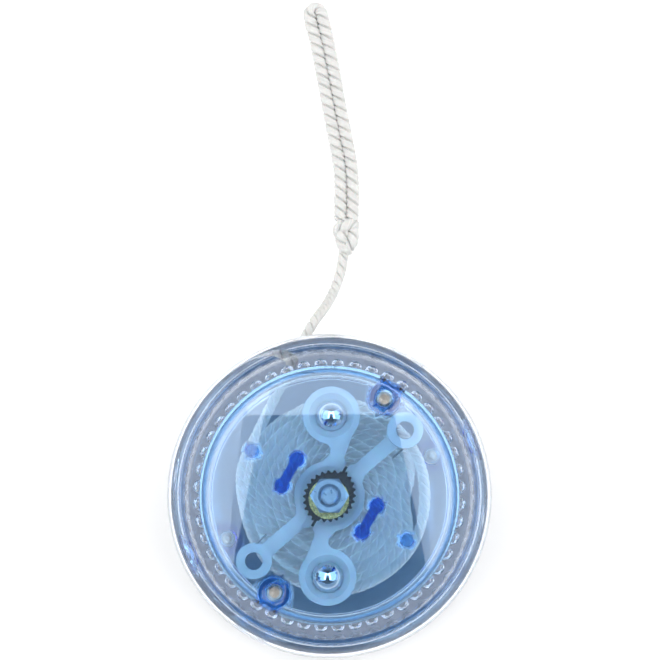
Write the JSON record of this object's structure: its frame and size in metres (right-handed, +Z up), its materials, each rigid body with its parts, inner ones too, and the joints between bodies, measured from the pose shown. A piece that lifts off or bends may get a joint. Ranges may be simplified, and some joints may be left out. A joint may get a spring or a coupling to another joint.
{
  "type": "yo yo",
  "caption": "Clear yo-yo with blue caps lying on one face, a ball-weighted clutch on its free-spinning spindle, and a cotton string ending in a knot and finger loop.",
  "frame": {"origin": "on the axle, in the plane of the face that the toy lies on", "axes": "+Z up along the axle, through the clutch side; +Y towards the free string and its finger loop"},
  "size_m": [0.058, 0.119, 0.035],
  "materials": {
    "clear_plastic": "polished clear moulding",
    "blue_plastic": "polished translucent blue moulding",
    "nickel_steel": "nickel-plated",
    "axle_steel": "zinc-plated",
    "brass": "plain turned brass",
    "black_plastic": "black moulding",
    "natural_plastic": "milky natural moulding",
    "ball_steel": "polished bearing ball",
    "spring_steel": "drawn wire",
    "cotton": "two-ply twisted cotton"
  },
  "bodies": {
    "yo_yo": {"upper_shell": "clear_plastic", "lower_shell": "clear_plastic", "upper_cap": "blue_plastic", "lower_cap": "blue_plastic", "upper_cap_screws": "nickel_steel", "lower_cap_screws": "nickel_steel", "axle": "axle_steel", "upper_axle_nut": "axle_steel", "lower_axle_nut": "axle_steel", "upper_washer": "brass", "lower_washer": "brass", "clutch_bridge": "clear_plastic"},
    "spindle": {"spindle": "black_plastic", "string_winding": "cotton", "string_tail": "cotton", "string_knot": "cotton", "finger_loop": "cotton"},
    "clutch_arm_a": {"clutch_arm_a": "natural_plastic", "clutch_ball_a": "ball_steel", "return_spring_a": "spring_steel"},
    "clutch_arm_b": {"clutch_arm_b": "natural_plastic", "clutch_ball_b": "ball_steel", "return_spring_b": "spring_steel"}
  },
  "joints": [
    {"name": "spindle_spin", "type": "hinge", "parent": "yo_yo", "child": "spindle", "pos_m": [0, 0, 0.0175], "axis": [0, 0, 1], "continuous": true},
    {"name": "clutch_arm_a_swing", "type": "hinge", "parent": "yo_yo", "child": "clutch_arm_a", "pos_m": [-0.01342, -0.01163, 0.0245], "axis": [0, 0, 1], "range_deg": [0, 2.8], "stiffness_Nm_per_rad": 0.004, "springref_deg": -5.73},
    {"name": "clutch_arm_b_swing", "type": "hinge", "parent": "yo_yo", "child": "clutch_arm_b", "pos_m": [0.01342, 0.01163, 0.0245], "axis": [0, 0, 1], "range_deg": [0, 2.8], "stiffness_Nm_per_rad": 0.004, "springref_deg": -5.73}
  ]
}
